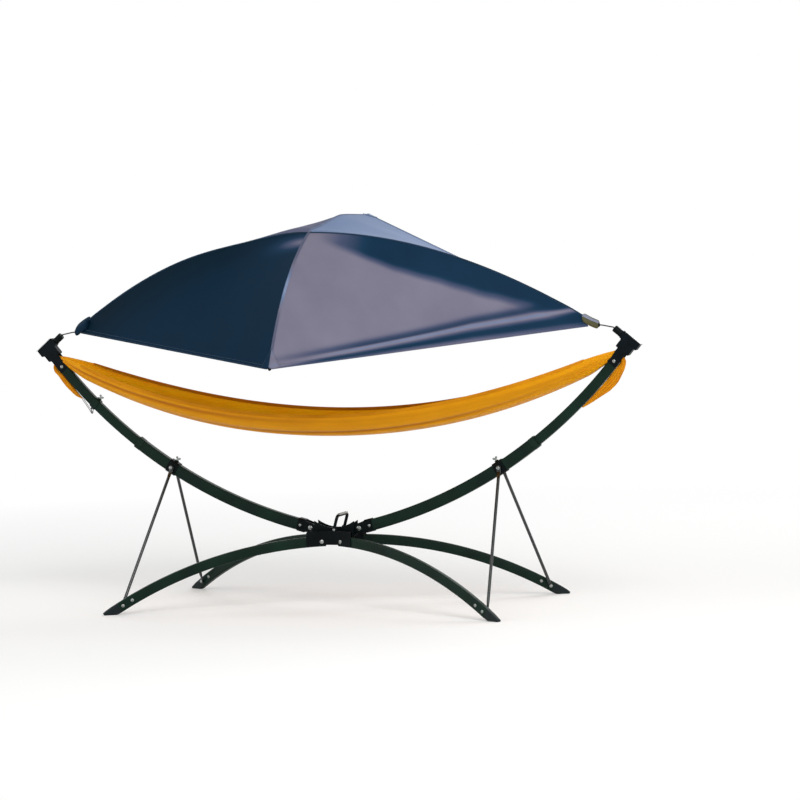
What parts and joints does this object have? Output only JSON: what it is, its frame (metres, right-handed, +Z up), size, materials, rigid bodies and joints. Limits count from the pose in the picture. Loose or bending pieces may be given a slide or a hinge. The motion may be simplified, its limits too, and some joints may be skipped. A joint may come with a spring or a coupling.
{
  "type": "hammock",
  "caption": "Cloth hammock slung between the curved arms of a folding steel stand on splayed legs, under a tilting sunshade on crossed poles.",
  "frame": {"origin": "centre of the bounding box on the ground, below the hub", "axes": "+X along the hammock towards the right arm, -Y the front, +Z up"},
  "size_m": [2.9796, 1.3092, 1.8196],
  "materials": {
    "green_powder_coat": "dark green powder coat",
    "dark_bracket_coat": "near-black powder coat",
    "black_strut_coat": "gloss black coat",
    "zinc_plate": "bright zinc",
    "grey_foot_plastic": "matte moulded",
    "black_plastic": "matte moulded",
    "pole_fibreglass": "drawn fibreglass",
    "navy_shade_cloth": "plain woven",
    "olive_webbing": "webbing",
    "orange_hammock_cloth": "smooth nylon",
    "grey_cord": "braided"
  },
  "bodies": {
    "hub": {"hub_core": "dark_bracket_coat", "hub_saddle": "dark_bracket_coat", "hub_front_plate": "dark_bracket_coat", "hub_rear_plate": "dark_bracket_coat", "hub_front_inner_plate": "dark_bracket_coat", "hub_rear_inner_plate": "dark_bracket_coat", "arm_pivot_pin_right": "zinc_plate", "arm_pivot_pin_left": "zinc_plate", "leg_pivot_pin_front_right": "zinc_plate", "leg_pivot_pin_front_left": "zinc_plate", "leg_pivot_pin_rear_right": "zinc_plate", "leg_pivot_pin_rear_left": "zinc_plate"},
    "carry_handle": {"carry_handle": "dark_bracket_coat"},
    "arm_right": {"arm_end_bracket_right": "dark_bracket_coat", "arm_lower_right": "green_powder_coat", "arm_upper_right": "green_powder_coat", "arm_bush_right": "black_plastic", "head_bracket_right": "black_plastic", "head_plate_right": "zinc_plate", "swivel_barrel_right": "zinc_plate", "canopy_pin_right": "zinc_plate", "hammock_tail_right": "orange_hammock_cloth"},
    "arm_left": {"arm_end_bracket_left": "dark_bracket_coat", "arm_lower_left": "green_powder_coat", "arm_upper_left": "green_powder_coat", "arm_bush_left": "black_plastic", "head_bracket_left": "black_plastic", "head_plate_left": "zinc_plate", "swivel_barrel_left": "zinc_plate", "canopy_pin_left": "zinc_plate", "hammock_tail_left": "orange_hammock_cloth"},
    "collar_right": {"collar_right": "dark_bracket_coat"},
    "collar_left": {"collar_left": "dark_bracket_coat"},
    "thumb_screw_right": {"thumb_screw_right": "zinc_plate"},
    "thumb_screw_left": {"thumb_screw_left": "zinc_plate"},
    "tension_collar": {"tension_collar": "dark_bracket_coat", "tension_cord": "grey_cord"},
    "thumb_screw_tension": {"thumb_screw_tension": "zinc_plate"},
    "tension_ring": {"tension_ring": "zinc_plate"},
    "leg_front_right": {"leg_front_right": "green_powder_coat", "foot_cap_front_right": "grey_foot_plastic"},
    "leg_front_left": {"leg_front_left": "green_powder_coat", "foot_cap_front_left": "grey_foot_plastic"},
    "leg_rear_right": {"leg_rear_right": "green_powder_coat", "foot_cap_rear_right": "grey_foot_plastic"},
    "leg_rear_left": {"leg_rear_left": "green_powder_coat", "foot_cap_rear_left": "grey_foot_plastic"},
    "strut_front_right": {"strut_front_right": "black_strut_coat"},
    "strut_front_left": {"strut_front_left": "black_strut_coat"},
    "strut_rear_right": {"strut_rear_right": "black_strut_coat"},
    "strut_rear_left": {"strut_rear_left": "black_strut_coat"},
    "canopy": {"canopy_cover": "navy_shade_cloth", "canopy_pole_long": "pole_fibreglass", "canopy_pole_cross": "pole_fibreglass", "end_pocket_right": "olive_webbing", "end_pocket_left": "olive_webbing", "corner_tip_front": "black_plastic", "corner_tip_rear": "black_plastic"},
    "bed": {"hammock_bed": "orange_hammock_cloth"}
  },
  "joints": [
    {"name": "arm_fold_right", "type": "hinge", "parent": "hub", "child": "arm_right", "pos_m": [0.12, 0.09115, 0.356], "axis": [0, -1, 0], "range_deg": [0, 50], "deforming": ["hammock_bed", "canopy_cover", "canopy_pole_long", "canopy_pole_cross", "end_pocket_right", "end_pocket_left", "corner_tip_front", "corner_tip_rear"]},
    {"name": "arm_fold_left", "type": "hinge", "parent": "hub", "child": "arm_left", "pos_m": [-0.12, 0.09115, 0.356], "axis": [0, 1, 0], "range_deg": [0, 50.1]},
    {"name": "leg_fold_front_right", "type": "hinge", "parent": "hub", "child": "leg_front_right", "pos_m": [0.053, 0.03515, 0.297], "axis": [-0.4511, -0.8925, 0], "range_deg": [0, 34.6]},
    {"name": "leg_fold_front_left", "type": "hinge", "parent": "hub", "child": "leg_front_left", "pos_m": [-0.053, 0.03515, 0.297], "axis": [-0.4511, 0.8925, 0], "range_deg": [0, 34.6]},
    {"name": "leg_fold_rear_right", "type": "hinge", "parent": "hub", "child": "leg_rear_right", "pos_m": [0.053, 0.14715, 0.297], "axis": [0.4511, -0.8925, 0], "range_deg": [0, 34.6]},
    {"name": "leg_fold_rear_left", "type": "hinge", "parent": "hub", "child": "leg_rear_left", "pos_m": [-0.053, 0.14715, 0.297], "axis": [0.4511, 0.8925, 0], "range_deg": [0, 34.6]},
    {"name": "strut_swing_front_right", "type": "hinge", "parent": "leg_front_right", "child": "strut_front_right", "pos_m": [0.8838, -0.36063, 0.04091], "axis": [0.3221, -0.9453, -0.052], "range_deg": [0, 34.6]},
    {"name": "strut_swing_front_left", "type": "hinge", "parent": "leg_front_left", "child": "strut_front_left", "pos_m": [-0.8838, -0.36063, 0.04091], "axis": [0.3221, 0.9453, 0.052], "range_deg": [0, 34.6]},
    {"name": "strut_swing_rear_right", "type": "hinge", "parent": "leg_rear_right", "child": "strut_rear_right", "pos_m": [0.8838, 0.54293, 0.04091], "axis": [-0.3221, -0.9453, 0.052], "range_deg": [0, 34.6]},
    {"name": "strut_swing_rear_left", "type": "hinge", "parent": "leg_rear_left", "child": "strut_rear_left", "pos_m": [-0.8838, 0.54293, 0.04091], "axis": [-0.3221, 0.9453, -0.052], "range_deg": [0, 34.6]},
    {"name": "collar_slide_right", "type": "hinge", "parent": "arm_right", "child": "collar_right", "pos_m": [-0.36976, 0.09115, 2.55717], "axis": [0, 1, 0], "range_deg": [0, 7.8]},
    {"name": "collar_slide_left", "type": "hinge", "parent": "arm_left", "child": "collar_left", "pos_m": [0.36976, 0.09115, 2.55717], "axis": [0, -1, 0], "range_deg": [0, 7.8]},
    {"name": "thumb_screw_turn_right", "type": "hinge", "parent": "collar_right", "child": "thumb_screw_right", "pos_m": [0.80739, 0.09115, 0.63422], "axis": [-0.5221, 0, 0.8529], "range_deg": [0, 360]},
    {"name": "thumb_screw_turn_left", "type": "hinge", "parent": "collar_left", "child": "thumb_screw_left", "pos_m": [-0.80739, 0.09115, 0.63422], "axis": [0.5221, 0, 0.8529], "range_deg": [0, 360]},
    {"name": "tension_slide", "type": "hinge", "parent": "arm_left", "child": "tension_collar", "pos_m": [0.36976, 0.09115, 2.55717], "axis": [0, -1, 0], "range_deg": [-1, 1], "deforming": ["tension_cord"]},
    {"name": "thumb_screw_turn_tension", "type": "hinge", "parent": "tension_collar", "child": "thumb_screw_tension", "pos_m": [-1.19668, 0.09115, 0.93505], "axis": [0.6947, 0, 0.7193], "range_deg": [0, 360]},
    {"name": "tension_ring_swing", "type": "hinge", "parent": "tension_collar", "child": "tension_ring", "pos_m": [-1.21773, 0.09115, 0.91325], "axis": [0, 1, 0], "range_deg": [-20, 20]},
    {"name": "canopy_tilt", "type": "hinge", "parent": "hub", "child": "canopy", "pos_m": [0, 0.09115, 1.273], "axis": [1, 0, 0], "range_deg": [-76, 23]},
    {"name": "bed_swing", "type": "hinge", "parent": "hub", "child": "bed", "pos_m": [0, 0.09115, 1.1495], "axis": [1, 0, 0], "range_deg": [-8, 8]},
    {"name": "handle_swing", "type": "hinge", "parent": "hub", "child": "carry_handle", "pos_m": [0.0144, 0.09115, 0.352], "axis": [0, 1, 0], "range_deg": [-66, 34]}
  ],
  "couplings": [
    {"joint": "arm_fold_left", "follows": "arm_fold_right", "ratio": 1},
    {"joint": "leg_fold_front_right", "follows": "arm_fold_right", "ratio": 0.69},
    {"joint": "leg_fold_front_left", "follows": "arm_fold_right", "ratio": 0.69},
    {"joint": "leg_fold_rear_right", "follows": "arm_fold_right", "ratio": 0.69},
    {"joint": "leg_fold_rear_left", "follows": "arm_fold_right", "ratio": 0.69},
    {"joint": "strut_swing_front_right", "follows": "arm_fold_right", "ratio": 0.69},
    {"joint": "strut_swing_front_left", "follows": "arm_fold_right", "ratio": 0.69},
    {"joint": "strut_swing_rear_right", "follows": "arm_fold_right", "ratio": 0.69},
    {"joint": "strut_swing_rear_left", "follows": "arm_fold_right", "ratio": 0.69},
    {"joint": "collar_slide_right", "follows": "arm_fold_right", "ratio": 0.155},
    {"joint": "collar_slide_left", "follows": "arm_fold_right", "ratio": 0.155}
  ]
}
